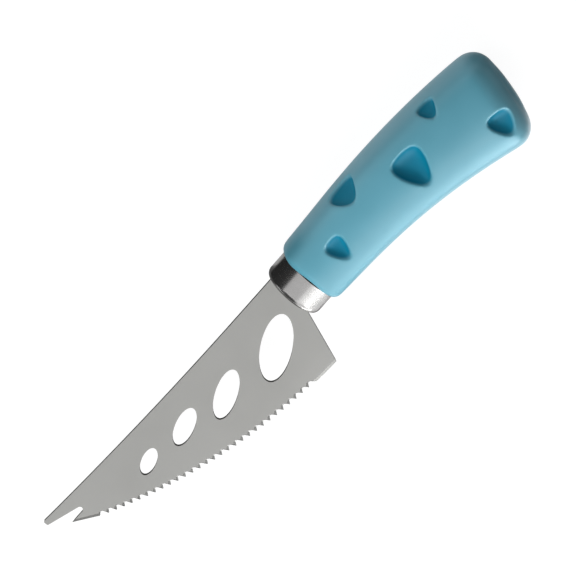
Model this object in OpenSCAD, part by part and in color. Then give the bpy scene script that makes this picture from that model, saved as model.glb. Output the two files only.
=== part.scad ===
// Cheese knife: a pierced, saw-toothed blade with a forked tip, a drawn steel ferrule,
// and a moulded handle of a stiff core under a soft, dimpled grip.
// The knife lies on its side: +X points to the tip, +Y to the cutting edge, +Z up.
// Inside the modules X = 0 is the ferrule's face and Y = Z = 0 is the ferrule's axis.

/* [Blade] */
// Length of the blade from the ferrule's face to the end of the long prong
blade_len = 117.5; // [105:0.5:135]
// Thickness of the blade between its two ground sides
blade_t = 1.6; // [1.2:0.1:2]
// Distance from the ferrule's axis to the straight part of the spine
spine_offset = 8.4; // [7:0.1:9]
// Length of the straight part of the spine
spine_straight = 17; // [5:1:40]
// Radius of the shallow hollow of the spine towards the tip
spine_r = 1550; // [1200:10:4000]
// Depth of the blade from the axis to the cutting edge at its lowest point
edge_depth = 27.2; // [24:0.1:30]
// Radius of the cutting edge
edge_r = 214; // [180:1:240]
// Distance from the ferrule's face to the lowest point of the edge arc
edge_low_x = 2.5; // [0:0.1:6]
// Distance from the ferrule's face to the heel corner
heel_x = 8.2; // [6:0.1:12]
// Angle between the heel and the axis
heel_angle = 69; // [60:1:80]

/* [Teeth] */
// Number of scallops between the plain heel edge and the short prong
tooth_count = 30; // [20:1:30]
// Distance from one tooth to the next along the edge
tooth_pitch = 2.97; // [2.5:0.01:3]
// Depth of a scallop
tooth_depth = 1.25; // [0.6:0.05:1.5]
// How far each scallop leans towards the heel, as a share of its depth
tooth_rake = 0.25; // [0:0.05:0.5]
// Length of plain edge between the heel corner and the first scallop
plain_edge = 10.5; // [6:0.5:12]

/* [Fork] */
// Width of the blunt end of the long prong
prong_w = 1.9; // [1.6:0.1:2.6]
// Radius of the corners of that end
prong_corner_r = 0.6; // [0.3:0.1:0.7]
// Angle between the inner side of the long prong and the axis
prong_angle = 17.7; // [14:0.1:20]
// Distance from the end of the long prong back to the point of the short one
prong_lag = 6.2; // [4:0.1:8]
// Distance from the end of the long prong back to the bottom of the notch
notch_depth = 12.7; // [11:0.1:15]
// Distance from the axis to the inner side of the short prong
short_prong_offset = 3.9; // [3.6:0.1:4.4]
// How far the last scallops are ground back into the short prong
prong_relief = 0.65; // [0:0.05:1]
// Number of scallops that are ground back
relief_count = 3; // [1:1:6]

/* [Blade holes] */
// Long axis of the four holes, from the heel to the tip
hole_len = [24.7, 18.7, 14.7, 10.4]; // [6:0.1:26]
// Short axis of the four holes
hole_w = [10.9, 7.7, 6.6, 5.2]; // [3:0.1:11]
// Distance of the hole centres from the ferrule's face
hole_x = [17.6, 41.3, 59.4, 77]; // [10:0.1:85]
// Distance of the hole centres from the axis, towards the edge
hole_y = [8.7, 6.5, 3.2, 1.9]; // [0:0.1:12]
// Lean of the holes away from the axis
hole_lean = [29.5, 23.5, 18, 19]; // [0:0.5:40]

/* [Tang] */
// Thickness of the unground tang
tang_t = 1.8; // [1.8:0.1:2.4]
// Unground stock that stands in front of the ferrule's face
grind_gap = 0.3; // [0.2:0.1:0.6]
// Length of the wide root of the tang behind the ferrule's face
tang_root_len = 4; // [2:0.5:6]
// Width of the tang behind its root
tang_w = 11; // [8:0.5:12]
// Length of the tang behind the ferrule's face
tang_len = 66; // [50:1:76]
// Diameter of the keying holes in the tang
key_hole_d = 5; // [3:0.5:6]
// Places of the keying holes behind the ferrule's face
key_hole_x = [32, 54]; // [30:1:58]
// Thickness of the adhesive round the tang
adhesive_t = 0.4; // [0.2:0.1:0.6]

/* [Ferrule] */
// Outer diameter of the ferrule
ferrule_d = 21.8; // [20:0.1:23]
// Length of the ferrule
ferrule_len = 22; // [18:0.5:26]
// Wall of the ferrule
ferrule_wall = 0.8; // [0.6:0.1:1.2]
// Outer radius of the ferrule's drawn corner
ferrule_corner_r = 2.7; // [1.6:0.1:3.5]
// Length of the ferrule that shows in front of the grip
ferrule_show = 9.4; // [7:0.1:11]
// Clearance of the blade in the ferrule's slot, all round
slot_gap = 0.1; // [0.05:0.05:0.3]
// Radial clearance of the core in the ferrule
core_gap = 0.05; // [0.02:0.01:0.1]

/* [Grip] */
// Length of the grip along its curved middle line
grip_len = 92.3; // [88:0.1:105]
// Width of the grip at its front
grip_front_w = 25.2; // [25:0.1:27]
// Width that the grip grows to at its butt
grip_butt_w = 37.1; // [34:0.1:42]
// Thickness of the grip at its front
grip_front_t = 24; // [23.5:0.1:26]
// Thickness that the grip grows to at its butt
grip_butt_t = 30.2; // [27:0.1:34]
// How late the width grows: 1 is a steady taper, 2 grows mostly near the butt
grip_flare = 1.38; // [1:0.01:2]
// Squareness of the section: 2 is an ellipse
squareness = 2.9; // [2.3:0.01:3.2]
// Share of the section's height at which its crest is flattened, so that the knife lies still
flat_share = 0.985; // [0.97:0.005:1]
// Length of grip that follows the axis before it bends
bend_start = 22; // [10:1:40]
// Radius of the bend towards the cutting edge
bend_r = 275; // [220:5:600]
// Rounding of the front edge
front_round = 2.8; // [1:0.1:3]
// Rounding of the butt
butt_round = 8.1; // [5:0.1:9]
// Height of the dome on the butt's end
butt_crown = 1.3; // [0.5:0.1:3]
// Depth of the core under the grip's surface
skin_t = 4.7; // [4.5:0.1:5.5]

/* [Dimples] */
// Distance of the five dimples behind the grip's front
dimple_along = [15.8, 30.1, 52.5, 68.2, 85.1]; // [14:0.1:86]
// Place of each dimple round the grip: 0 faces the edge, 90 up and 180 the spine
dimple_turn = [93, 144, 95, 140, 80]; // [60:1:150]
// Length of the side of each dimple that faces the spine
dimple_base = [7, 11.4, 11.4, 6.6, 9.2]; // [4:0.1:13]
// Height of each dimple from that side to its far corner
dimple_height = [9.4, 11.6, 14.2, 8.2, 10.2]; // [5:0.1:15]
// Depth of each dimple
dimple_depth = [3, 3.2, 3.8, 2.4, 3.2]; // [1:0.1:4]

/* [Hidden] */
$fn = 96;
steel = "#a9a9a6";
polished_steel = "#cfcfd2";
resin = "#d8c99a";
core_plastic = "#6f7678";
soft_blue = "#6fb4c8";

// Blade outline, in order: spine, long prong, notch, short prong, edge, heel.
arc_steps = 8;
scallop_steps = 8;
hole_sides = 48;
tip_y = spine_y(blade_len);
prong_out = 90 - prong_angle;
notch_x = blade_len - notch_depth;
wedge_x = blade_len + (tip_y + prong_w + short_prong_offset) / tan(prong_angle);
root_r = (notch_x - wedge_x) * tan(prong_angle / 2) / (1 - tan(prong_angle / 2));
root = [notch_x + root_r, -short_prong_offset - root_r];
short_tip = [blade_len - prong_lag, -short_prong_offset];
edge_centre = [edge_low_x, edge_depth - edge_r];
first_tooth = edge_angle(heel_x) + plain_edge / edge_r * 180 / PI;
tooth_turn = tooth_pitch / edge_r * 180 / PI;
heel = [heel_x, edge_y(heel_x)];
blade_outline = concat(
    spine_points(), long_prong_points(), notch_points(), [short_tip], tooth_points(), [heel, root_low()]
);

// The root of the tang is as wide as the blade is at the ferrule's face.
root_y = [-spine_offset, heel_y_at(grind_gap)];

// Ferrule bore, and the stations where the core starts and the butt ends
ferrule_r = ferrule_d / 2;
core_spigot_r = ferrule_r - ferrule_wall - core_gap;
core_front = ferrule_wall + core_gap;
core_nose_r = ferrule_corner_r - ferrule_wall;
core_overlap = 1;
core_start = ferrule_len - ferrule_show - core_overlap;

// Rings of the grip and of the core: [station, inset from the surface, scale, dome height]
grip_sides = 64;
grip_steps = 16;
core_sides = 32;
core_steps = 9;
round_steps = 3;
butt_steps = 6;
grip_rings = concat(
    [for (i = [0:round_steps]) let (a = 90 * i / round_steps)
        [front_round * (1 - cos(a)), front_round * (1 - sin(a)), 1, 0]],
    [for (i = [1:grip_steps - 1]) [mix(front_round, grip_len - butt_round, i / grip_steps), 0, 1, 0]],
    [for (i = [0:butt_steps]) let (a = 90 * i / butt_steps)
        [grip_len - butt_round * (1 - sin(a)), butt_round * (1 - cos(a)), 1, 0]],
    [for (f = [0.75, 0.5, 0.25]) [grip_len, butt_round, f, butt_crown * (1 - f * f)]]
);
core_butt_round = butt_round - skin_t / 2;
core_end = grip_len - skin_t;
core_rings = concat(
    [for (i = [0:core_steps - 1])
        [mix(core_start, core_end - core_butt_round, i / core_steps), skin_t, 1, 0]],
    [for (i = [0:round_steps]) let (a = 90 * i / round_steps)
        [core_end - core_butt_round * (1 - sin(a)), skin_t + core_butt_round * (1 - cos(a)), 1, 0]]
);
grip_points = [for (r = grip_rings) each ring_points(r, grip_sides)];
grip_tip = to_space(grip_len + butt_crown, [0, 0]);

// Rings of the bowl that cuts a dimple: [height, share of the outline], down to its bottom
scoop_sides = 24;
scoop_steps = 5;
scoop_mouth = 1.5;
scoop_flare = 1.12;
bowl_fullness = 0.7;
corner_blend = 4;
scoop_rings = concat(
    [[scoop_mouth, scoop_flare]],
    [for (i = [0:scoop_steps - 1]) let (a = 90 * i / scoop_steps) [-sin(a), pow(cos(a), bowl_fullness)]]
);

// The row's origin: the middle of the knife's box, on the surface that it lies on
low_x = min([for (p = grip_points) p[0]]);
low_y = min([for (p = grip_points) p[1]]);
low_z = min([for (p = grip_points) p[2]]);
high_y = max([for (p = concat(grip_points, blade_outline)) p[1]]);
middle = [(low_x + blade_len) / 2, (low_y + high_y) / 2, low_z];

function mix(a, b, f) = a + (b - a) * f;

// Blade
function spine_y(x) = -spine_offset - pow(max(0, x - spine_straight), 2) / (2 * spine_r);
function edge_angle(x) = asin((x - edge_low_x) / edge_r);
function edge_y(x) = edge_centre[1] + edge_r * cos(edge_angle(x));
function on_edge(turn, depth) = edge_centre + (edge_r - depth) * [sin(turn), cos(turn)];
function relief(n) = prong_relief * max(0, n - tooth_count + relief_count) / relief_count;
function heel_y_at(x) = edge_y(heel_x) - (heel_x - x) * tan(heel_angle);
function root_low() = [grind_gap, heel_y_at(grind_gap)];
function arc(centre, r, from, to, steps) =
    [for (i = [0:steps]) let (a = mix(from, to, i / steps)) centre + r * [cos(a), sin(a)]];
function spine_points() = concat(
    [[grind_gap, -spine_offset]],
    [for (i = [0:arc_steps - 1])
        let (x = mix(spine_straight, blade_len - 2 * prong_corner_r, i / (arc_steps - 1))) [x, spine_y(x)]]
);
function long_prong_points() = concat(
    arc([blade_len - prong_corner_r, tip_y + prong_corner_r], prong_corner_r, -90, 0, arc_steps),
    arc(
        [blade_len - prong_corner_r, tip_y + prong_w - prong_corner_r * tan(prong_out / 2)],
        prong_corner_r, 0, prong_out, arc_steps
    )
);
function notch_points() = arc(root, root_r, 270 - prong_angle, 90, arc_steps);
function tooth_points() = concat(
    [for (i = [tooth_count - 1:-1:0], k = [scallop_steps:-1:1])
        let (f = k / scallop_steps, d = scallop_depth(f), lean = tooth_rake * d / edge_r * 180 / PI)
            on_edge(first_tooth + (i + f) * tooth_turn - lean, d + relief(i + f))],
    [on_edge(first_tooth, 0)]
);
function scallop_depth(f) = let (c = tooth_pitch / 2, r = (c * c + pow(tooth_depth, 2)) / (2 * tooth_depth))
    sqrt(r * r - pow(tooth_pitch * f - c, 2)) - r + tooth_depth;
function ellipse(a, b) =
    [for (i = [0:hole_sides - 1]) let (t = 360 * i / hole_sides) [a * cos(t), b * sin(t)]];

// Grip: a middle line that bends, and a soft square section that is set across it
function turn(s) = max(0, s - bend_start) / bend_r * 180 / PI;
function to_space(s, p) = let (a = turn(s)) [
    -ferrule_show - min(s, bend_start) - bend_r * sin(a) + p[0] * sin(a),
    bend_r * (1 - cos(a)) + p[0] * cos(a),
    p[1]
];
function half_w(s) = mix(grip_front_w, grip_butt_w, pow(s / grip_len, grip_flare)) / 2;
function half_t(s) = mix(grip_front_t, grip_butt_t, s / grip_len) / 2;
function soft(v) = sign(v) * pow(abs(v), 2 / squareness);
function section(w, t, sides) =
    [for (i = [0:sides - 1]) let (a = 360 * i / sides) [w * soft(cos(a)), t * flattened(soft(sin(a)))]];
function flattened(v) = max(-flat_share, min(flat_share, v));
function ring_points(r, sides) = [
    for (p = section(half_w(r[0]) - r[1], half_t(r[0]) - r[1], sides)) to_space(r[0] + r[3], p * r[2])
];

// Outward direction of the section at an angle, and the outline of a rounded triangle
function unit(v) = v / norm(v);
function outward(s, a) = unit([
    sign(cos(a)) * pow(abs(cos(a)), 2 - 2 / squareness) / half_w(s),
    sign(sin(a)) * pow(abs(sin(a)), 2 - 2 / squareness) / half_t(s)
]);
function facing(n, d) = pow(max(0, n * d), corner_blend);
function triangle_r(base, height, d) = let (
    side = norm([height, base / 2]),
    inner = base * height / (base + 2 * side)
)
    inner / pow(
        facing([0, -1], d) + facing([height, base / 2] / side, d) + facing([-height, base / 2] / side, d),
        1 / corner_blend
    );
function scoop_point(i, d, height, share) = let (
    s = dimple_along[i],
    a = dimple_turn[i],
    out = outward(s, a),
    across = [out[1], -out[0]],
    surface = [half_w(s) * soft(cos(a)), half_t(s) * soft(sin(a))],
    reach = share * triangle_r(dimple_base[i], dimple_height[i], d),
    forward = [cos(turn(s)), -sin(turn(s)), 0]
)
    to_space(s, surface + across * reach * d[1] + out * height) + reach * d[0] * forward;
function scoop_points(i) = [for (ring = scoop_rings, k = [0:scoop_sides - 1])
    let (a = 360 * k / scoop_sides)
        scoop_point(i, [cos(a), sin(a)], ring[0] < 0 ? ring[0] * dimple_depth[i] : ring[0], ring[1])];

module loft(points, sides, end_point) {
    rings = len(points) / sides;
    tip = len(points);
    polyhedron(
        concat(points, [end_point]),
        concat(
            [[for (i = [sides - 1:-1:0]) i]],
            [for (r = [0:rings - 2], i = [0:sides - 1]) let (j = (i + 1) % sides)
                [r * sides + i, r * sides + j, (r + 1) * sides + j]],
            [for (r = [0:rings - 2], i = [0:sides - 1]) let (j = (i + 1) % sides)
                [r * sides + i, (r + 1) * sides + j, (r + 1) * sides + i]],
            [for (i = [0:sides - 1]) [(rings - 1) * sides + i, (rings - 1) * sides + (i + 1) % sides, tip]]
        ),
        convexity = 6
    );
}

module place() {
    translate(-middle) children();
}

module slab(thick) {
    translate([0, 0, -thick / 2]) linear_extrude(thick) children();
}

// A cylinder along -X that starts at the given distance behind the ferrule's face
module barrel(r, from, to) {
    translate([-from, 0, 0]) rotate([0, -90, 0]) cylinder(r = r, h = to - from);
}

module tang_plan(grow, root_front) {
    translate([-tang_root_len - grow, root_y[0] - grow])
        square([tang_root_len + grow + root_front, root_y[1] - root_y[0] + 2 * grow]);
    translate([-tang_len + tang_w / 2, -tang_w / 2 - grow])
        square([tang_len - tang_w / 2, tang_w + 2 * grow]);
    translate([-tang_len + tang_w / 2, 0]) circle(r = tang_w / 2 + grow);
}

module blade() {
    place() color(steel) {
        slab(blade_t) difference() {
            polygon(blade_outline);
            for (i = [0:len(hole_x) - 1])
                translate([hole_x[i], hole_y[i]]) rotate(hole_lean[i])
                    polygon(ellipse(hole_len[i] / 2, hole_w[i] / 2));
        }
        tang_blank(tang_t);
    }
}

module tang_blank(thick) {
    slab(thick) difference() {
        tang_plan(0, grind_gap);
        for (x = key_hole_x) translate([-x, 0]) circle(d = key_hole_d);
    }
}

module tang_pocket() {
    slab(tang_t + 2 * adhesive_t) tang_plan(adhesive_t, 0);
}

module tang_adhesive() {
    place() color(resin) difference() {
        intersection() {
            tang_pocket();
            barrel(ferrule_d, core_front + core_nose_r, tang_len + adhesive_t);
        }
        tang_blank(tang_t);
    }
}

module cup_profile(r, length, corner_r) {
    square([r, length - corner_r]);
    square([r - corner_r, length]);
    translate([r - corner_r, length - corner_r]) circle(corner_r);
}

module turned() {
    translate([-ferrule_len, 0, 0]) rotate([90, 0, 90]) rotate_extrude() children();
}

module ferrule() {
    place() color(polished_steel) difference() {
        turned() difference() {
            cup_profile(ferrule_r, ferrule_len, ferrule_corner_r);
            cup_profile(ferrule_r - ferrule_wall, ferrule_len - ferrule_wall, core_nose_r);
        }
        slab(tang_t + 2 * slot_gap) translate([-2 * ferrule_wall, root_y[0] - slot_gap])
            square([3 * ferrule_wall, root_y[1] - root_y[0] + 2 * slot_gap]);
    }
}

module core_body() {
    loft([for (r = core_rings) each ring_points(r, core_sides)], core_sides, to_space(core_end, [0, 0]));
}

module handle_core() {
    place() color(core_plastic) difference() {
        union() {
            core_body();
            turned() cup_profile(core_spigot_r, ferrule_len - core_front, core_nose_r);
        }
        tang_pocket();
    }
}

module scoop(i) {
    loft(scoop_points(i), scoop_sides, scoop_point(i, [1, 0], -dimple_depth[i], 0));
}

module handle_grip() {
    place() color(soft_blue) difference() {
        loft(grip_points, grip_sides, grip_tip);
        core_body();
        barrel(ferrule_r, 0, ferrule_len);
        for (i = [0:len(dimple_along) - 1]) {
            scoop(i);
            mirror([0, 0, 1]) scoop(i);
        }
    }
}

blade();
tang_adhesive();
ferrule();
handle_core();
handle_grip();
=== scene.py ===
# %% [markdown]
# # A cheese knife
# The knife lies on its side on a pale table: a pierced, saw-toothed blade with a forked tip, a polished
# ferrule, and a soft blue handle with triangular dimples. The imported model comes in first, as the frame
# that every new piece has to fit.

# %% Load the frame
from math import acos, atan2, copysign, cos, degrees, pi, radians, sin, sqrt, tan

import bmesh
import bpy
from mathutils import Matrix, Vector
from mathutils.bvhtree import BVHTree


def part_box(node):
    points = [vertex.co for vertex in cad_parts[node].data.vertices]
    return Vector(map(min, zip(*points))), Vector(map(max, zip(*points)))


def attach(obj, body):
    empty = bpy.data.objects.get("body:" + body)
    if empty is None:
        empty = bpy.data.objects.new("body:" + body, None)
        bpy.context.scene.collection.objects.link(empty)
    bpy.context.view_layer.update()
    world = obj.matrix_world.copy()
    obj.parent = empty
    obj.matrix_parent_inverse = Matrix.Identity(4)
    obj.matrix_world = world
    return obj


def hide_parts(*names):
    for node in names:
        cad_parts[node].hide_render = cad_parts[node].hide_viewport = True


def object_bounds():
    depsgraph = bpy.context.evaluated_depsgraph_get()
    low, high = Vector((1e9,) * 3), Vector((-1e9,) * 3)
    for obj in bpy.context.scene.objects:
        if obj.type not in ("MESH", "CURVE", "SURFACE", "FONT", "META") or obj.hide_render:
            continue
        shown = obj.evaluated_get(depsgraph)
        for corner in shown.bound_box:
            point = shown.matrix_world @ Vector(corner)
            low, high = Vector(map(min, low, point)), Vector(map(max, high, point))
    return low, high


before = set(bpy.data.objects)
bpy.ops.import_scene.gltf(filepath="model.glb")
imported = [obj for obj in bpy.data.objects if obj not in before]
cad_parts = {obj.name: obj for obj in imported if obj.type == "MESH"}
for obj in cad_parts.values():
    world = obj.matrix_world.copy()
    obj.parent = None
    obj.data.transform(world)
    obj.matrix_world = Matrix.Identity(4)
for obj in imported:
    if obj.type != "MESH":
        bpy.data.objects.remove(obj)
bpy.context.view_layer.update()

print("nodes:", sorted(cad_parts))

# %% [markdown]
# A drawing of the knife is easier to read in millimetres from one good point. That point is where the
# ferrule's axis meets the ferrule's flat face: X runs to the tip, Y to the cutting edge and Z up. The frame
# says where the ferrule is, so the same numbers work wherever the model's own origin lies.

# %% Millimetres from the ferrule's face
mm = 0.001
ferrule_low, ferrule_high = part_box("ferrule")
axis_point = (ferrule_low + ferrule_high) / 2
knife_origin = Vector((ferrule_high.x, axis_point.y, axis_point.z))


def at(x, y=0.0, z=0.0):
    """A point of the knife's drawing, in the scene's metres."""
    return knife_origin + Vector((x, y, z)) * mm


print("ferrule's face at", [round(v, 5) for v in knife_origin])

# %% [markdown]
# The photograph looks down on the knife, leaning a little towards the handle and the spine. A long lens
# keeps the knife's sides nearly parallel. The camera is placed by four facts read from the picture: the
# lean, the scale, the direction of the knife's axis and where the ferrule's axis crosses one pixel.

# %% The camera
image_size = 576
pixels_per_mm = 2.98
lean = radians(18)
distance = 1100.0
axis_in_image = Vector((-0.6646, -0.7472))
marked_point = at(-1.4)
marked_pixel = Vector((293.04, 290.74))

along = Vector((axis_in_image.x, axis_in_image.y / cos(lean))).normalized()
right = Vector((along.x, -along.y, 0))
away = Vector((along.y, along.x, 0))
back = cos(lean) * Vector((0, 0, 1)) + sin(lean) * away
up = back.cross(right)

offset = (marked_pixel - Vector((image_size, image_size)) / 2) / pixels_per_mm
aim = marked_point - right * offset.x * mm + away * offset.y / cos(lean) * mm


def placed(point, axes, scale=1.0):
    """The matrix that stands a thing at this point, with its own X, Y and Z along these axes."""
    return Matrix.Translation(point) @ (Matrix(axes).transposed() * scale).to_4x4()


camera_data = bpy.data.cameras.new("camera")
camera_data.sensor_width = 36.0
camera_data.lens = camera_data.sensor_width * pixels_per_mm * distance / image_size
camera_data.clip_start = 0.05
camera = bpy.data.objects.new("camera", camera_data)
camera.matrix_world = placed(aim + back * distance * mm, (right, up, back))
bpy.context.scene.collection.objects.link(camera)
bpy.context.scene.camera = camera
print("lens", round(camera_data.lens, 1), "mm")

# %% [markdown]
# Blender's operators act on whatever is selected, and the loaded nodes are all selected. These helpers keep
# that in hand: they clear the selection, hold one piece, and pick the points that pass a test.

# %% Holding and picking
def clear():
    if bpy.context.object and bpy.context.object.mode != "OBJECT":
        bpy.ops.object.mode_set(mode="OBJECT")
    bpy.ops.object.select_all(action="DESELECT")


def hold(piece):
    """Make this piece the only selected one, and the active one."""
    clear()
    piece.select_set(True)
    bpy.context.view_layer.objects.active = piece
    return piece


def named(name):
    """Name the piece that an operator has just made."""
    piece = bpy.context.object
    piece.name = name
    piece.data.name = name
    return piece


def edit(piece):
    hold(piece)
    bpy.ops.object.mode_set(mode="EDIT")
    bpy.ops.mesh.select_all(action="SELECT")


def done():
    bpy.ops.object.mode_set(mode="OBJECT")


def pick(piece, test):
    """In edit mode, select only the points whose place passes the test."""
    bpy.ops.mesh.select_mode(type="VERT")
    bpy.ops.mesh.select_all(action="DESELECT")
    shape = bmesh.from_edit_mesh(piece.data)
    for point in shape.verts:
        if test(point.co):
            point.select_set(True)
    bmesh.update_edit_mesh(piece.data)


def face_outwards():
    """In edit mode, turn all faces of the piece outwards."""
    bpy.ops.mesh.select_all(action="SELECT")
    bpy.ops.mesh.normals_make_consistent(inside=False)


clear()
print("selected now:", len(bpy.context.selected_objects))

# %% [markdown]
# An operator that moves, turns or scales a piece only changes how its mesh is placed. A finished piece has to
# sit at the origin, so settle() puts the placement into the mesh. A modifier is applied as soon as it is
# added, so each step leaves a plain mesh for the next one, and a boolean uses up its tool.

# %% Settling, cutting and joining
def settle(piece):
    """Put the piece's place, turn and size into its mesh."""
    hold(piece)
    bpy.ops.object.transform_apply(location=True, rotation=True, scale=True)
    return piece


def apply(piece, kind, **settings):
    hold(piece)
    modifier = piece.modifiers.new(kind.lower(), kind)
    for key, value in settings.items():
        setattr(modifier, key, value)
    bpy.ops.object.modifier_apply(modifier=modifier.name)
    return piece


def cut(piece, tool, operation="DIFFERENCE", solver="EXACT"):
    """Cut, join or cross the piece with a tool, which is used up."""
    apply(piece, "BOOLEAN", object=tool, operation=operation, solver=solver)
    bpy.data.objects.remove(tool)
    return piece


def join(pieces):
    clear()
    for piece in pieces:
        piece.select_set(True)
    bpy.context.view_layer.objects.active = pieces[0]
    bpy.ops.object.join()
    return pieces[0]


def smooth(piece, angle):
    """Shade the piece smooth, except where its faces meet more steeply than this."""
    hold(piece)
    bpy.ops.object.shade_smooth_by_angle(angle=radians(angle))


# %% [markdown]
# A flat outline is traced as by hand: one point is extruded from place to place, and the loop is filled and
# given its thickness. Arcs come from a formula, so a corner's radius is a number that can be changed.

# %% Tracing an outline
def arc(x, y, radius, start, stop, steps):
    """Points on a circle from one angle to another, in degrees."""
    angles = [radians(start + (stop - start) * i / steps) for i in range(steps + 1)]
    return [(x + radius * cos(a), y + radius * sin(a)) for a in angles]


def trace(name, outline, low, high):
    """A plate with this outline, from one height to another."""
    bpy.ops.mesh.primitive_plane_add(size=mm, location=at(*outline[0], low))
    plate = settle(named(name))
    edit(plate)
    bpy.ops.mesh.merge(type="CENTER")
    for start, stop in zip(outline, outline[1:]):
        step = Vector((stop[0] - start[0], stop[1] - start[1], 0)) * mm
        bpy.ops.mesh.extrude_region_move(TRANSFORM_OT_translate={"value": step})
    bpy.ops.mesh.select_all(action="SELECT")
    bpy.ops.mesh.edge_face_add()
    bpy.ops.mesh.extrude_region_move(TRANSFORM_OT_translate={"value": Vector((0, 0, high - low)) * mm})
    face_outwards()
    done()
    return plate


# %% [markdown]
# ## The blade
# The real blade is cut from sheet steel, with its tang, and ground afterwards. It is made in the same order
# here. Its sizes come first: a spine that is straight and then slightly hollow, a cutting edge that is part
# of one large circle, a slanting heel, and two prongs with a notch between them.

# %% The blade's sizes
blade_len = 117.5
blade_t = 1.6
spine_y = -8.4
spine_straight = 17.0
spine_radius = 1550.0
edge_radius = 214.25
edge_top_x, edge_top_y = 2.5, 27.45
edge_centre = Vector((edge_top_x, edge_top_y - edge_radius))
heel_x = 8.2
heel_angle = radians(69)
prong_w = 1.9
prong_corner = 0.6
prong_angle = 17.7
notch_depth = 12.7
short_prong = Vector((111.3, -3.9))
prong_foot = Vector((101.5, 2.93))
root_x = 0.3


def spine_at(x):
    return spine_y - max(0, x - spine_straight) ** 2 / (2 * spine_radius)


def edge_at(x):
    return edge_centre.y + sqrt(edge_radius ** 2 - (x - edge_centre.x) ** 2)


def edge_angle(x):
    return degrees(acos((x - edge_centre.x) / edge_radius))


print("blade is", round(edge_at(heel_x) - spine_at(heel_x), 1), "mm high at the heel")

# %% [markdown]
# The blank is traced in one go, from the root along the spine to the long prong with its blunt end, round the
# notch, over the short prong, and back along the cutting edge and the heel. The notch is the circle that
# touches both prongs, so its radius follows from their angle and from how deep it lies.

# %% The blank
spine_places = range(17, 116, 7)
corner_steps, notch_steps, edge_steps = 6, 12, 60

tip_y = spine_at(blade_len)
corner_x = blade_len - prong_corner
half = radians(prong_angle / 2)
wedge_x = blade_len + (tip_y + prong_w - short_prong.y) / tan(2 * half)
notch_r = (blade_len - notch_depth - wedge_x) * tan(half) / (1 - tan(half))
notch_x = blade_len - notch_depth + notch_r
prong_turn = 90 - prong_angle
root_edge = edge_at(heel_x) - (heel_x - root_x) * tan(heel_angle)

spine = [(root_x, spine_y)] + [(x, spine_at(x)) for x in spine_places]
long_prong = arc(corner_x, tip_y + prong_corner, prong_corner, -90, 0, corner_steps)
long_prong += arc(corner_x, tip_y + prong_w - prong_corner * tan(radians(prong_turn / 2)),
                  prong_corner, 0, prong_turn, corner_steps)
notch = arc(notch_x, short_prong.y - notch_r, notch_r, 270 - prong_angle, 90, notch_steps)
edge = arc(*edge_centre, edge_radius, edge_angle(prong_foot.x), edge_angle(heel_x), edge_steps)
outline = spine + long_prong + notch + [tuple(short_prong)] + edge + [(root_x, root_edge)]
blade = trace("blade_steel", outline, -blade_t / 2, blade_t / 2)
print("blank has", len(blade.data.vertices), "points")

# %% [markdown]
# Four slanting ellipses are pierced through the blank, each given by its centre, its length and width, and
# its turn in degrees. A cylinder, squashed and turned, is the punch. The punched and cut edges are broken
# with a very small bevel, which catches the thin lines round every hole in the photograph.

# %% The holes
holes = [(17.6, 8.7, 24.7, 10.9, 29.5),
         (41.3, 6.5, 18.7, 7.7, 23.5),
         (59.4, 3.2, 14.7, 6.6, 18.0),
         (77.0, 1.9, 10.4, 5.2, 19.0)]
hole_sides = 96
punch_len = 4 * blade_t
edge_break = 0.22
sharp = radians(40)


def punch(x, y, length, width, turn):
    bpy.ops.mesh.primitive_cylinder_add(vertices=hole_sides, radius=mm / 2, depth=punch_len * mm,
                                        location=at(x, y), rotation=(0, 0, radians(turn)))
    tool = named("punch")
    tool.scale = (length, width, 1)
    return settle(tool)


cut(blade, join([punch(*hole) for hole in holes]))
apply(blade, "BEVEL", width=edge_break * mm, segments=2, limit_method="ANGLE", angle_limit=sharp)
print("pierced blade has", len(blade.data.polygons), "faces")

# %% [markdown]
# The two plain parts of the edge, by the heel and on the short prong, are ground flat from both sides. A
# block stands for the grinder: its lower face lies along the edge at a slant, and what it covers is taken
# off. The bevel's width and the thickness that is left at the edge give the slant.

# %% Grinding the plain edges
bevel_w = 1.0
edge_t = 0.45
block = 5.0
overrun = 0.3
plain_edge = 10.5
teeth_start = Vector((heel_x + plain_edge, edge_at(heel_x + plain_edge)))
heel_corner = Vector((heel_x, edge_at(heel_x)))
plain_parts = [(heel_corner, teeth_start), (prong_foot, short_prong)]


def grinder(start, stop, side):
    """The block that grinds the bevel between two points of the edge, above or below."""
    run = (stop - start).to_3d().normalized()
    steep = atan2((blade_t - edge_t) / 2, bevel_w)
    normal = Vector((-run.y, run.x, 0)) * sin(steep) + Vector((0, 0, side * cos(steep)))
    middle = ((start + stop) / 2).to_3d() + Vector((0, 0, side * edge_t / 2)) + normal * block
    length = (stop - start).length / 2 + overrun
    bpy.ops.mesh.primitive_cube_add(size=2 * mm)
    tool = named("grinder")
    tool.matrix_world = placed(at(*middle), (run * length, normal.cross(run) * block, normal * block))
    return settle(tool)


for start, stop in plain_parts:
    for side in (1, -1):
        cut(blade, grinder(start, stop, side))
print("ground blade has", len(blade.data.polygons), "faces")

# %% [markdown]
# The teeth are ground from the upper side only, by a wheel whose rim has a rounded ridge. It bites the edge
# once for each tooth, and because it is held at a slant, each bite is a V that is deeper above than below and
# leaves two sloping facets. A square bar stands for the rim, with its corners rounded: one corner cuts the V.
# Towards the tip, the bites lean over and grow narrower. All of them are cut together.

# %% Grinding the teeth
tooth_count = 30
tooth_pitch = 2.97
tooth_depth = 1.45
tip_rake = radians(-10)
tip_squeeze = 0.22
grind_angle = radians(45)
wheel_r = 5.0
nose_r = 1.0
nose_steps = 5
bar_len = 8 * blade_t


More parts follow.
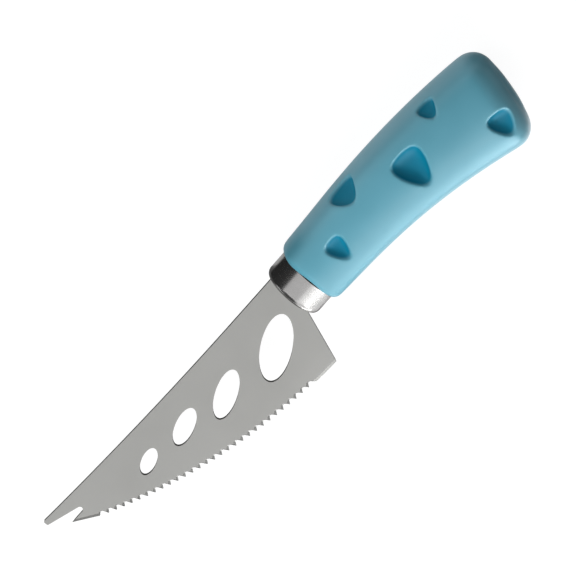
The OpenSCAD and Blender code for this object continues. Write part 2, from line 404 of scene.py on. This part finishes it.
def wheel(i):
    """The bar that bites the edge for one tooth, counted from the heel."""
    angle = radians(edge_angle(heel_x)) - (plain_edge + (i + 0.5) * tooth_pitch) / edge_radius
    outward = Vector((cos(angle), sin(angle), 0))
    share = i / tooth_count
    inward = Vector((sin(tip_rake * share), -cos(tip_rake * share), 0))
    upright = Vector((0, 0, 1)) * cos(grind_angle) + inward * sin(grind_angle)
    side = inward.cross(upright).normalized()
    nose = outward * edge_radius + inward * tooth_depth - Vector((0, 0, blade_t / 2))
    hub = nose - inward * (wheel_r - nose_r * (sqrt(2) - 1)) / cos(grind_angle)
    bpy.ops.mesh.primitive_cylinder_add(vertices=4, radius=wheel_r * mm, depth=bar_len * mm)
    tool = apply(named("wheel"), "BEVEL", width=nose_r * mm, segments=nose_steps)
    axes = (side * (1 - tip_squeeze * share), upright.cross(side), upright)
    tool.matrix_world = placed(at(*edge_centre) + hub * mm, axes)
    return settle(tool)


wheels = join([wheel(i) for i in range(tooth_count)])
apply(blade, "BOOLEAN", object=wheels, operation="DIFFERENCE", solver="EXACT", use_self=True)
bpy.data.objects.remove(wheels)
print("toothed blade has", len(blade.data.polygons), "faces")

# %% [markdown]
# The tang goes on last. On the real knife it is the same sheet, left a little thicker because nothing grinds
# it, with two keying holes that the adhesive fills. It is traced as a second plate, pierced with the same
# punch and joined to the blade, and it is hidden in the handle.

# %% The tang
tang_t = 1.8
tang_len = 66.0
tang_half = 5.5
root_len = 4.0
key_hole_r = 2.5
key_hole_places = (32, 54)
tang_steps = 12
tang_outline = [(root_x, spine_y), (-root_len, spine_y), (-root_len, -tang_half)]
tang_outline += arc(tang_half - tang_len, 0, tang_half, 270, 90, tang_steps)
tang_outline += [(-root_len, tang_half), (-root_len, root_edge), (root_x, root_edge)]
tang = trace("tang", tang_outline, -tang_t / 2, tang_t / 2)
cut(tang, join([punch(-x, 0, 2 * key_hole_r, 2 * key_hole_r, 0) for x in key_hole_places]))
cut(blade, tang, "UNION")
smooth(blade, 15)
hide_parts("blade")
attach(blade, "root")
print("blade with its tang has", len(blade.data.polygons), "faces")

# %% [markdown]
# ## The ferrule
# A drawn cup: a tube with a rounded corner and a flat face, and a slot that the tang goes through. Its
# profile is traced as a chain of points and spun round the axis, so the reflections along it stay clean.

# %% The ferrule
ferrule_r = 10.9
ferrule_len = 22.0
ferrule_wall = 0.8
corner_r = 2.7
face_ring = 4.0
side_steps, shoulder_steps = 4, 12
round_sides = 160
slot_gap = 0.1


def cup(radius, face_x, corner):
    """Half of a cup's profile, from its rim to the corner of its face."""
    side_len = face_x - corner + ferrule_len
    side = [(side_len * i / side_steps - ferrule_len, radius) for i in range(side_steps)]
    return side + arc(face_x - corner, radius - corner, corner, 90, 0, shoulder_steps)


outer = cup(ferrule_r, 0, corner_r) + [(0, face_ring), (0, 0)]
inner = cup(ferrule_r - ferrule_wall, -ferrule_wall, corner_r - ferrule_wall) + [(-ferrule_wall, 0)]
profile = outer + inner[::-1] + [outer[0]]
bpy.ops.mesh.primitive_plane_add(size=mm, location=at(*profile[0]))
ferrule = settle(named("ferrule_cup"))
edit(ferrule)
bpy.ops.mesh.merge(type="CENTER")
for start, stop in zip(profile, profile[1:]):
    move = Vector((stop[0] - start[0], stop[1] - start[1], 0)) * mm
    if move.length > 0:
        bpy.ops.mesh.extrude_region_move(TRANSFORM_OT_translate={"value": move})
bpy.ops.mesh.select_all(action="SELECT")
bpy.ops.mesh.spin(steps=round_sides, angle=2 * pi, center=at(0), axis=(1, 0, 0))
bpy.ops.mesh.select_all(action="SELECT")
bpy.ops.mesh.remove_doubles(threshold=0.001 * mm)
face_outwards()
done()

bpy.ops.mesh.primitive_cube_add(size=1, location=at(0, (spine_y + root_edge) / 2))
slot = named("slot")
slot.scale = (3 * ferrule_wall * mm, (root_edge - spine_y + 2 * slot_gap) * mm, (tang_t + 2 * slot_gap) * mm)
cut(ferrule, settle(slot))
smooth(ferrule, 40)
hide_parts("ferrule")
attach(ferrule, "root")
print("ferrule has", len(ferrule.data.polygons), "faces")

# %% [markdown]
# ## The grip
# The grip is a soft skin, moulded over a stiff core. It leaves the ferrule straight and then bends gently
# towards the cutting edge, and it grows wider and thicker to the butt, where its broad sides fall off a
# little. These sizes are functions of the distance behind the grip's front, so any ring can ask for its own.

# %% The handle's line and size
ferrule_show = 9.4
grip_len = 92.3
front_w, butt_w = 25.2, 37.1
front_t, butt_t = 24.0, 31.0
flare = 1.38
fall_start = 62.0
butt_fall = 1.3
bend_start = 22.0
bend_r = 275.0
front_round = 2.8
butt_round = 8.1
butt_crown = 0.975


def bend(s):
    """How far the middle line has turned at this distance behind the front."""
    return max(0, s - bend_start) / bend_r


def station(s, y=0.0, z=0.0):
    """A point at a distance behind the grip's front, across the bent middle line."""
    a = bend(s)
    return at(-ferrule_show - min(s, bend_start) - bend_r * sin(a) + y * sin(a),
              bend_r * (1 - cos(a)) + y * cos(a), z)


def half_w(s):
    return (front_w + (butt_w - front_w) * (s / grip_len) ** flare) / 2


def half_t(s):
    fall = butt_fall * (max(0, s - fall_start) / (grip_len - fall_start)) ** 2
    return (front_t + (butt_t - front_t) * s / grip_len) / 2 - fall


print("grip is", round(2 * half_w(grip_len), 1), "mm wide at the butt")

# %% [markdown]
# The grip's section is an oval with full corners, between an ellipse and a rectangle. It starts as a square,
# whose sides are divided and pushed most of the way to a circle. That ring is extruded from station to
# station along the bent middle line, and turned and scaled at each one, and a subdivision surface runs
# smoothly through the rings. One function makes such a body, because the hollow for the core has the same
# form, further in. A ring is given by its station, its distance inside the surface, and a share of the rest.

# %% A body of oval rings
roundness = 0.64
side_cuts = 3


def turn_ring(angle, centre):
    """Turn the selected ring clockwise, as seen from above."""
    if angle:
        bpy.ops.transform.rotate(value=angle, orient_axis="Z", center_override=centre)


def oval_body(name, rings, levels):
    """A closed body through oval rings of (station, inset, share) along the handle's middle line."""
    bpy.ops.mesh.primitive_circle_add(vertices=4, radius=sqrt(2), rotation=(0, 0, radians(45)))
    body = settle(named(name))
    edit(body)
    bpy.ops.mesh.subdivide(number_cuts=side_cuts)
    bpy.ops.transform.tosphere(value=roundness)
    done()
    widths = sorted({round(abs(v.co.y), 5) for v in body.data.vertices}, reverse=True)
    reach = (4 * widths[0] + 2 * widths[1]) / 6
    sizes = [((half_w(s) - inset) * share, (half_t(s) - inset) * share) for s, inset, share in rings]
    s = rings[0][0]
    body.matrix_world = (Matrix.Translation(station(s)) @ Matrix.Rotation(-bend(s), 4, "Z")
                         @ Matrix.Diagonal((1, sizes[0][0] * mm / reach, sizes[0][1] * mm / reach, 1))
                         @ Matrix.Rotation(radians(90), 4, "Y"))
    settle(body)
    edit(body)
    bpy.ops.mesh.edge_face_add()
    for k in range(1, len(rings)):
        here, there = rings[k - 1][0], rings[k][0]
        step = station(there) - station(here)
        bpy.ops.mesh.extrude_region_move(TRANSFORM_OT_translate={"value": step})
        centre = station(there)
        turn_ring(-bend(here), centre)
        growth = [after / before for after, before in zip(sizes[k], sizes[k - 1])]
        bpy.ops.transform.resize(value=(1, *growth), center_override=centre)
        turn_ring(bend(there), centre)
    face_outwards()
    done()
    return apply(body, "SUBSURF", levels=levels, render_levels=levels)


print("a ring has", 4 * (side_cuts + 1), "points")

# %% [markdown]
# The grip's rings stand close together at both ends, where a quarter circle rounds the edge, and far apart in
# between, where little changes. A smaller ring in the middle of each end closes it, and at the butt it lies
# further out, which gives the butt its slight crown.

# %% The grip's body
body_steps, front_steps, butt_steps = 12, 4, 6
end_share = 0.5


def rounding(radius, steps):
    """Points of a quarter circle, as how far each one lies from the two sides of its square corner."""
    angles = [radians(90 * i / steps) for i in range(steps + 1)]
    return [(radius * (1 - cos(a)), radius * (1 - sin(a))) for a in angles]


straight_len = grip_len - butt_round - front_round
rings = [(0.0, front_round, end_share)]
rings += [(back_by, inset, 1) for back_by, inset in rounding(front_round, front_steps)]
rings += [(front_round + straight_len * i / body_steps, 0.0, 1) for i in range(1, body_steps)]
rings += [(grip_len - short_by, inset, 1) for inset, short_by in rounding(butt_round, butt_steps)]
rings += [(grip_len + butt_crown, butt_round, end_share)]
grip = oval_body("soft_grip", rings, 3)
print("grip's body has", len(grip.data.polygons), "faces")

# %% [markdown]
# Each dimple is a rounded triangular bowl, with a flat side towards the spine and a point towards the edge.
# The bowl's tool starts as a hexagon; three of its corners are pulled out, and the ring is extruded down and
# drawn in. Subdivided, it has no corner left. The steps of the bowl say how deep and how wide it is there, as
# shares of the whole.

# %% The tool for a dimple
corner_reach, side_reach = 1.78, 1.08
outline_w, outline_h = 2.37, 2.38
bowl = [(0.35, 0.93), (0.7, 0.76), (0.93, 0.48), (1.0, 0.2)]
rim_height = 1.6


def is_corner(place):
    """Whether this point of the hexagon is one that becomes a corner of the triangle."""
    return place.y > 0.9 * side_reach or -0.9 * side_reach < place.y < -0.1


def bowl_tool(depth):
    """A triangular bowl at the origin that opens upwards, of the outline's width and height."""
    bpy.ops.mesh.primitive_circle_add(vertices=6, radius=side_reach, fill_type="NGON")
    tool = named("scoop")
    edit(tool)
    pick(tool, is_corner)
    bpy.ops.transform.resize(value=[corner_reach / side_reach] * 3, center_override=(0, 0, 0))
    bpy.ops.mesh.select_all(action="SELECT")
    bpy.ops.mesh.select_mode(type="FACE")
    bpy.ops.mesh.extrude_region_move(TRANSFORM_OT_translate={"value": (0, 0, -rim_height)})
    reached, size = 0.0, 1.0
    for down, share in bowl:
        bpy.ops.mesh.extrude_region_move(TRANSFORM_OT_translate={"value": (0, 0, (reached - down) * depth)})
        bpy.ops.transform.resize(value=(share / size, share / size, 1), center_override=(0, 0, 0))
        reached, size = down, share
    face_outwards()
    done()
    return apply(tool, "SUBSURF", levels=3, render_levels=3)


print("a bowl is drawn in", len(bowl), "steps")

# %% [markdown]
# The tool is then stood on the grip's surface, square to it. Each dimple is given by its place along and
# round the grip, its width, height and depth, and how far its point leans along the grip. The same five
# dimples are on the hidden side, and all ten bowls are cut at once. The uncut body is kept as a search tree,
# because the painted shade in the grip's colour needs to know how far a point lies below it.

# %% The dimples
fullness = 2.8
point_pull = 1.625
dimples = [(15.8, 91, 7.4, 9.8, 2.4, 0.2),
           (30.4, 144, 11.8, 12.0, 3.2, 1.2),
           (52.8, 94, 12.0, 15.0, 3.8, 0.6),
           (68.3, 140, 7.2, 8.5, 2.4, 1.1),
           (85.6, 80, 10.0, 10.4, 3.2, 0.0)]


def soft_power(value, power):
    """A power that keeps the sign, as the formula of a full-cornered oval needs."""
    return copysign(abs(value) ** power, value)


def scoop(s, turn, width, height, depth, skew, side):
    """The bowl for one dimple, standing in its place above or below."""
    tool = bowl_tool(depth)
    c, d, power = cos(radians(turn)), sin(radians(turn)), 2 / fullness
    a = bend(s)
    middle = station(s, half_w(s) * soft_power(c, power), side * half_t(s) * soft_power(d, power))
    normal = Vector((soft_power(c, 2 - power) / half_w(s), soft_power(d, 2 - power) / half_t(s))).normalized()
    sideways, tail = Vector((sin(a), cos(a), 0)), Vector((-cos(a), sin(a), 0))
    out = sideways * normal.x + Vector((0, 0, side * normal.y))
    down_hill = sideways * normal.y - Vector((0, 0, side * normal.x))
    lean_over = tail * point_pull * skew / height
    axes = (down_hill.cross(out) * width / outline_w, (down_hill + lean_over) * height / outline_h, out)
    tool.matrix_world = placed(middle + out * rim_height * mm, axes, mm)
    return settle(tool)


whole = BVHTree.FromObject(grip, bpy.context.evaluated_depsgraph_get())
scoops = join([scoop(*dimple, side) for dimple in dimples for side in (1, -1)])
cut(grip, scoops, solver="MANIFOLD")
print("dimpled grip has", len(grip.data.polygons), "faces")

# %% [markdown]
# A moulded skin has no sharp edge anywhere. The cut body is rebuilt from small, even faces and smoothed a
# few times, which rounds the dimples' rims and leaves the broad form alone. Every point then keeps its depth
# below the uncut body as an attribute, in millimetres, which the painted shade in the colour reads later.

# %% Soft edges
face_size = 0.38
passes = 8
apply(grip, "REMESH", mode="VOXEL", voxel_size=face_size * mm, use_smooth_shade=True)
apply(grip, "SMOOTH", factor=0.5, iterations=passes)

hollowness = grip.data.attributes.new("hollowness", "FLOAT", "POINT")
for vertex, value in zip(grip.data.vertices, hollowness.data):
    value.value = whole.find_nearest(vertex.co)[3] / mm
print("deepest point lies", round(max(value.value for value in hollowness.data), 1), "mm below the body")

# %% [markdown]
# The skin is not solid. Behind the ferrule it has a hollow for the core, which is the same oval body, further
# in, and in front a bore for the ferrule, with a hair of play; the dark line round the ferrule is painted
# shade in the ferrule's colour.

# %% Hollow and bore
skin_t = 4.7
play = 0.3
core_front = 11.6
core_steps, core_end_steps = 8, 3

core_round = butt_round - skin_t / 2
hollow_len = grip_len - skin_t
core_len = hollow_len - core_round - core_front
hollow = [(core_front + core_len * i / core_steps, skin_t, 1) for i in range(core_steps)]
core_end = rounding(core_round, core_end_steps)
hollow += [(hollow_len - short_by, skin_t + inset, 1) for inset, short_by in core_end]
cut(grip, oval_body("hollow", hollow, 2), solver="MANIFOLD")
bore_overrun = 2
bore_front, bore_back = -ferrule_show + bore_overrun, -ferrule_len
bpy.ops.mesh.primitive_cylinder_add(
    vertices=round_sides, radius=(ferrule_r + play) * mm, depth=(bore_front - bore_back) * mm,
    location=at((bore_front + bore_back) / 2), rotation=(0, radians(90), 0))
cut(grip, settle(named("bore")), solver="MANIFOLD")
smooth(grip, 50)
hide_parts("handle_grip")
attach(grip, "root")
print("finished grip has", len(grip.data.polygons), "faces")

# %% [markdown]
# ## Finishes
# Shader arithmetic is easier to read as Python. A Value wraps a socket that holds a number, and its operators
# add Math nodes. Their reflected forms are there too, so that 1 - value works as well as value - 1.

# %% Numbers in a shader
class Value:
    """A number that changes over a surface."""

    def __init__(self, finish, socket):
        self.finish = finish
        self.socket = socket

    def maths(self, operation, *terms):
        node = self.finish.node("ShaderNodeMath", {"operation": operation}, dict(enumerate(terms)))
        return Value(self.finish, node.outputs[0])

    def __add__(self, other):
        return self.maths("ADD", self, other)

    def __sub__(self, other):
        return self.maths("SUBTRACT", self, other)

    def __rsub__(self, other):
        return self.maths("SUBTRACT", other, self)

    def __mul__(self, other):
        return self.maths("MULTIPLY", self, other)

    __radd__ = __add__
    __rmul__ = __mul__

    def between(self, low, high):
        """0 below low, 1 above high, and a soft step from one to the other."""
        node = self.finish.node("ShaderNodeMapRange", {"interpolation_type": "SMOOTHSTEP"},
                                {"Value": self, "From Min": low, "From Max": high})
        return Value(self.finish, node.outputs[0])


# %% [markdown]
# A Finish is one material, built round Blender's Principled shader. Its node() adds any node, with its
# settings and its inputs, and the other methods name what the finishes below use again and again: noise of a
# given size, a blend of two colours, and bumps of a given height. All patterns are measured in the object's
# own millimetres, so they stay put when the knife is moved.

# %% A material
class Finish:
    """A material, built round one Principled shader."""

    def __init__(self, name, constants):
        self.material = bpy.data.materials.new(name)
        self.material.use_nodes = True
        self.nodes = self.material.node_tree.nodes
        self.links = self.material.node_tree.links
        self.shader = self.nodes["Principled BSDF"]
        self.place = self.node("ShaderNodeTexCoord").outputs["Object"]
        self.feed(self.shader, constants)

    def feed(self, node, inputs):
        """Set a node's inputs, or link them where a socket or a Value is given."""
        for key, value in inputs.items():
            value = getattr(value, "socket", value)
            if isinstance(value, bpy.types.NodeSocket):
                self.links.new(value, node.inputs[key])
            else:
                node.inputs[key].default_value = value

    def node(self, kind, settings=None, inputs=None):
        made = self.nodes.new(kind)
        for key, value in (settings or {}).items():
            setattr(made, key, value)
        self.feed(made, inputs or {})
        return made

    def along(self, axis):
        """The distance in millimetres from the ferrule's face along X, Y or Z."""
        parts = self.node("ShaderNodeSeparateXYZ", inputs={0: self.place})
        return (Value(self, parts.outputs[axis]) - knife_origin[axis]) * (1 / mm)

    def noise(self, size, detail=3.0, stretch=(1, 1, 1), turn=(0, 0, 0)):
        """Noise with features about this many millimetres across, stretched along some axes."""
        scaled = self.node("ShaderNodeMapping", inputs={
            "Vector": self.place, "Rotation": turn, "Scale": [1 / (size * mm * s) for s in stretch]})
        node = self.node("ShaderNodeTexNoise", inputs={
            "Vector": scaled.outputs[0], "Scale": 1.0, "Detail": detail})
        return Value(self, node.outputs["Fac"])

    def blend(self, share, first, second):
        """The first colour where the share is 0, and the second where it is 1."""
        node = self.node("ShaderNodeMix", {"data_type": "RGBA"}, {"Factor": share, 6: first, 7: second})
        return node.outputs[2]

    def bumps(self, height, depth):
        """Bump whose full height is this many millimetres."""
        node = self.node("ShaderNodeBump", inputs={"Height": height, "Strength": 1.0, "Distance": depth * mm})
        self.feed(self.shader, {"Normal": node.outputs[0]})


# %% [markdown]
# Colours are written as a screen shows them, because that is how one reads them in a picture. A shader works
# with linear light, so rgb() turns one into the other. dress() puts finishes on a piece, in the order in
# which its faces number them.

# %% Colours and dressing
def rgb(red, green, blue):
    """A colour as a screen shows it, in steps of 1 to 255, as the shader wants it."""
    def linear(v):
        return v / 255 / 12.92 if v <= 10 else ((v / 255 + 0.055) / 1.055) ** 2.4
    return (linear(red), linear(green), linear(blue), 1.0)


def dress(piece, *finishes):
    piece.data.materials.clear()
    for finish in finishes:
        piece.data.materials.append(finish.material)
    print(piece.name, "wears", [material.name for material in piece.data.materials])


# %% [markdown]
# **Satin steel.** The blade's flat sides are a calm, even grey. What makes them steel and not paint is a fine
# brushed grain across the blade, with a slow drift in tone under it. Both stay faint, because the real blade
# looks almost plain from arm's length.

# %% Satin steel
satin = Finish("satin_steel", {"Metallic": 1.0})
grain_lines = satin.noise(0.25, 2.0, stretch=(1, 40, 40), turn=(0, 0, radians(8)))
drift = satin.noise(30.0, 2.0)
satin.feed(satin.shader, {
    "Base Color": satin.blend(drift.between(0.3, 0.7), rgb(198, 198, 195), rgb(204, 204, 201)),
    "Roughness": 0.27 + grain_lines * 0.02})
satin.bumps(grain_lines, 0.0003)
print("satin steel has", len(satin.nodes), "nodes")

# %% [markdown]
# **Ground and sheared steel.** The facets of the teeth and the bevels of the edge come from a coarse wheel,
# which leaves a darker, streaky face. The sheared sides of the sheet, along the spine and inside the holes,
# are duller still. A face gets its finish by where it lies: flat, near the cutting edge, or anywhere else.

# %% Ground and sheared steel
ground = Finish("ground_steel", {"Metallic": 1.0})
wheel_lines = ground.noise(0.12, 2.0, stretch=(30, 1, 30))
ground.feed(ground.shader, {
    "Base Color": ground.blend(wheel_lines, rgb(138, 138, 136), rgb(152, 152, 150)),
    "Roughness": 0.22 + wheel_lines * 0.1})
ground.bumps(wheel_lines, 0.003)

sheared = Finish("sheared_steel", {"Metallic": 1.0})
shear_lines = sheared.noise(0.2, 2.0, stretch=(1, 1, 20))
sheared.feed(sheared.shader, {
    "Base Color": sheared.blend(shear_lines, rgb(112, 112, 110), rgb(132, 132, 130)),
    "Roughness": 0.45 + shear_lines * 0.1})
sheared.bumps(shear_lines, 0.002)
dress(blade, satin, ground, sheared)

flat = 0.999
ground_depth = 4.0
edge_middle = at(*edge_centre)
for face in blade.data.polygons:
    near_edge = (face.center - edge_middle).length > (edge_radius - ground_depth) * mm
    if abs(face.normal.z) < flat:
        face.material_index = 1 if near_edge else 2

# %% [markdown]
# ** Polished steel.** The ferrule is nearly a mirror. Very fine rings from its drawing and turning run round
# it, and handling leaves a faint cloudiness. Where it enters the grip, a thin dark line of painted shade
# stands for the shadow in the seam.

# %% Polished steel
polish = Finish("polished_steel", {"Metallic": 1.0})
draw_rings = polish.noise(0.12, 2.0, stretch=(1, 60, 60))
clouds = polish.noise(5.0, 4.0)
# Painted shade: a thin dark band round the ferrule where it enters the grip stands in for the shadow in the
# seam.
seam_shade_place = -ferrule_show - 0.4
seam_shade_soft = 0.05
steel = polish.blend(clouds.between(0.35, 0.7), rgb(208, 207, 206), rgb(214, 213, 212))
painted_seam_shade = 1 - polish.along(0).between(seam_shade_place - seam_shade_soft, seam_shade_place + seam_shade_soft)
polish.feed(polish.shader, {
    "Base Color": polish.blend(painted_seam_shade, steel, rgb(30, 30, 32)),
    "Roughness": 0.21 + clouds * 0.04 + draw_rings * 0.02})
polish.bumps(draw_rings, 0.0002)
dress(ferrule, polish)

# %% [markdown]
# ** Soft-touch blue.** An elastomer with a dry, even matte: a sea blue that is a touch deeper here and there,
# a fine spark-eroded texture from the mould, and a broad soft highlight. In the dimples the colour is painted
# shade, a deeper teal without that highlight, which the depth attribute of the grip brings in softly over
# their rims.

# %% Soft-touch blue
soft_blue = Finish("soft_touch_blue", {"Specular IOR Level": 0.25, "Coat Roughness": 0.42, "Coat IOR": 1.65})
mould_texture = soft_blue.noise(0.35, 2.0)
tone = soft_blue.noise(18.0, 3.0)
hollow_depth = Value(soft_blue, soft_blue.node(
    "ShaderNodeAttribute", {"attribute_name": "hollowness"}).outputs["Fac"])
# Painted shade: where the grip lies below its uncut body, its colour turns a deeper teal and its coat fades.
dimple_shade_mask = hollow_depth.between(0.15, 1.4)
skin = soft_blue.blend(tone.between(0.3, 0.7), rgb(84, 163, 184), rgb(90, 168, 189))
soft_blue.feed(soft_blue.shader, {
    "Base Color": soft_blue.blend(dimple_shade_mask, skin, rgb(5, 128, 158)),
    "Coat Weight": 1 - dimple_shade_mask,
    "Roughness": 0.44 + mould_texture * 0.06})
soft_blue.bumps(mould_texture, 0.006)
dress(grip, soft_blue)

# %% [markdown]
# **Hidden parts.** The core and the adhesive never show while the knife is whole, but the model can be taken
# apart, so both get a plausible finish: grey moulded nylon with short glass fibres, and cured amber resin.

# %% Core and adhesive
nylon = Finish("core_nylon", {"Specular IOR Level": 0.4})
fibres = nylon.noise(0.3, 3.0, stretch=(8, 1, 1))
nylon.feed(nylon.shader, {
    "Base Color": nylon.blend(fibres.between(0.4, 0.7), rgb(92, 97, 100), rgb(122, 127, 130)),
    "Roughness": 0.5 + fibres * 0.15})
nylon.bumps(fibres, 0.01)
dress(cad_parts["handle_core"], nylon)

resin = Finish("cured_resin", {"Specular IOR Level": 0.5})
flow = resin.noise(3.0, 3.0)
resin.feed(resin.shader, {
    "Base Color": resin.blend(flow.between(0.3, 0.7), rgb(196, 176, 120), rgb(214, 196, 146)),
    "Roughness": 0.2 + flow * 0.15})
resin.bumps(flow, 0.05)
dress(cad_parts["tang_adhesive"], resin)

# %% [markdown]
# ## The stage
# The background is white because the floor and the world are white to the camera, not because the light is
# strong. The floor's own colour is a light grey, which is what lights the knife from below; for the camera
# most of it is lifted to white, and the rest keeps a faint shadow.

# %% Floor
floor_lift = 0.72
gloss_lift = 0.28
white_level = 1.3
floor_size = 4.0
paper = Finish("paper", {"Specular IOR Level": 0.1, "Roughness": 0.8})
fibre = paper.noise(2.0, 3.0)
paper.feed(paper.shader, {"Base Color": paper.blend(fibre, rgb(200, 200, 200), rgb(206, 206, 206))})
light_path = paper.node("ShaderNodeLightPath")
seen_by_camera = Value(paper, light_path.outputs["Is Camera Ray"])
seen_in_gloss = Value(paper, light_path.outputs["Is Glossy Ray"])
white = paper.node("ShaderNodeEmission", inputs={"Color": (1, 1, 1, 1), "Strength": white_level})
lifted = paper.node("ShaderNodeMixShader", inputs={
    0: seen_by_camera * floor_lift + seen_in_gloss * gloss_lift,
    1: paper.shader.outputs[0],
    2: white.outputs[0]})
paper.feed(paper.nodes["Material Output"], {"Surface": lifted.outputs[0]})

bpy.ops.mesh.primitive_plane_add(size=floor_size, location=(0, 0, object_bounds()[0][2]))
floor = named("floor")
dress(floor, paper)

# %% [markdown]
# The world gives the plain, even part of the light. The camera, reflections and what shines through see it
# as white, and everything else gets its weak light only.

# %% World
ambient = 0.2
world = bpy.data.worlds.new("studio")
world.use_nodes = True
bpy.context.scene.world = world
tree = world.node_tree
path = tree.nodes.new("ShaderNodeLightPath")
strength = tree.nodes["Background"].inputs["Strength"]
seen = path.outputs["Is Camera Ray"]
for kind in ("Is Glossy Ray", "Is Transmission Ray"):
    either = tree.nodes.new("ShaderNodeMath")
    either.operation = "MAXIMUM"
    tree.links.new(seen, either.inputs[0])
    tree.links.new(path.outputs[kind], either.inputs[1])
    seen = either.outputs[0]
level = tree.nodes.new("ShaderNodeMapRange")
level.inputs["To Min"].default_value = ambient
level.inputs["To Max"].default_value = 1.0
tree.links.new(seen, level.inputs["Value"])
tree.links.new(level.outputs[0], strength)
tree.nodes["Background"].inputs["Color"].default_value = (1, 1, 1, 1)
print("the world's own light is", ambient)

# %% [markdown]
# Two wide soft lamps stand to the tip's side of the knife, a stronger one by the cutting edge and a weaker
# one by the spine. The grip is brightest along the edge's side, and the butt stays deep; the dimples stay
# deep by their own shading and by the painted shade in the grip's colour. The lamps don't show in
# reflections, because the cards in the next cell do that better.

# %% Lamps
def lamp(name, direction, reach, width, height, power):
    """A soft box that faces the knife from this direction."""
    light = bpy.data.lights.new(name, "AREA")
    light.shape = "RECTANGLE"
    light.size, light.size_y = width, height
    light.energy = power
    box = bpy.data.objects.new(name, light)
    place = Vector(direction).normalized()
    turn = place.to_track_quat("Z", "Y").to_matrix().to_4x4()
    box.matrix_world = Matrix.Translation(at(0) + place * reach) @ turn
    bpy.context.scene.collection.objects.link(box)
    box.visible_glossy = False


lamp("edge_side_box", (0.55, 0.7, 0.68), 0.55, 0.6, 0.45, 3.15)
lamp("spine_side_box", (0.45, -0.6, 0.65), 0.8, 0.7, 0.6, 2.45)
print("lamps:", len(bpy.data.lights))

# %% [markdown]
# Steel shows what stands round it, so it gets cards, as a photographer would set them. Only reflections see
# them. Upright walls stand far off, each over a part of the horizon; the wall by the cutting edge makes the
# ferrule's bright band. The nearer cards are a grey one overhead, which gives the blade its even tone, black
# ones by the spine, the tip and the butt, and two bright ones by the edge, for the bevels and the grip's
# sheen. A last few lie on the table and light or shade what looks down at it.

# %% Cards and walls
wall_reach = 500.0
under_z = -14.3


def card(name, centre, size, turn, glow):
    """A card that only reflections see. Its size is along its own X and Y, before the turn."""
    bpy.ops.mesh.primitive_plane_add(size=1, location=at(*centre), rotation=[radians(a) for a in turn])
    board = named(name)
    board.scale = (size[0] * mm, size[1] * mm, 1)
    settle(board)
    board.visible_camera = board.visible_diffuse = board.visible_shadow = board.visible_transmission = False
    cloth = Finish(name, {"Base Color": rgb(4, 4, 4), "Roughness": 0.9, "Emission Strength": 1.0})
    weave = cloth.noise(8.0, 2.0)
    dim, bright = (glow * 0.97,) * 3 + (1,), (glow,) * 3 + (1,)
    cloth.feed(cloth.shader, {"Emission Color": cloth.blend(weave, dim, bright)})
    dress(board, cloth)


def wall(name, azimuth, half_angle, low, high, glow):
    """An upright card round the knife, at this angle from the knife's axis, between two heights."""
    width = 2 * wall_reach * tan(radians(half_angle))
    centre = (wall_reach * cos(radians(azimuth)), wall_reach * sin(radians(azimuth)), (low + high) / 2)
    card(name, centre, (width, high - low), (90, 0, azimuth - 90), glow)


wall("edge_wall", 76, 16, 260, 560, 1.25)
card("bevel_card", (50, 125, 52), (30, 50), (90, 0, 0), 3.1)
wall("butt_wall", 178, 34, -10, 400, 0.15)
wall("tip_wall", 36, 22, -10, 340, 0.75)
wall("heel_wall", 118, 24, -10, 520, 0.6)
card("spine_card", (10, -25, 9), (50, 46), (90, 0, 0), 0.01)
card("tip_card", (300, -20, 135), (300, 280), (0, 90, 0), 0.03)
card("top_card", (82, -85, 250), (286, 360), (0, 0, 0), 0.6)
card("butt_card", (-181, 0, 250), (240, 500), (0, 0, 0), 0.05)
card("top_strip", (15, 102, 250), (420, 14), (0, 0, 0), 0.4)
card("under_ferrule", (-20, 0, under_z), (40, 130), (0, 0, 0), 0.45)
card("beside_grip", (-66, 85, under_z), (104, 116), (0, 0, 0), 1.3)
card("grip_wall", (-33, 250, 130), (110, 270), (90, 0, 0), 7.4)
card("beyond_edge", (88, 98, under_z), (96, 70), (0, 0, 0), 5.0)
card("under_butt", (-150, 20, under_z), (88, 110), (0, 0, 0), 0.1)
card("under_blade", (45, 0, under_z), (90, 56), (0, 0, 0), 0.1)
card("under_tip", (112, -4, under_z), (44, 48), (0, 0, 0), 0.2)

# %% [markdown]
# The picture uses the Standard view, so that colours come out about as they are written.

# %% Finish
bpy.context.scene.view_settings.view_transform = "Standard"
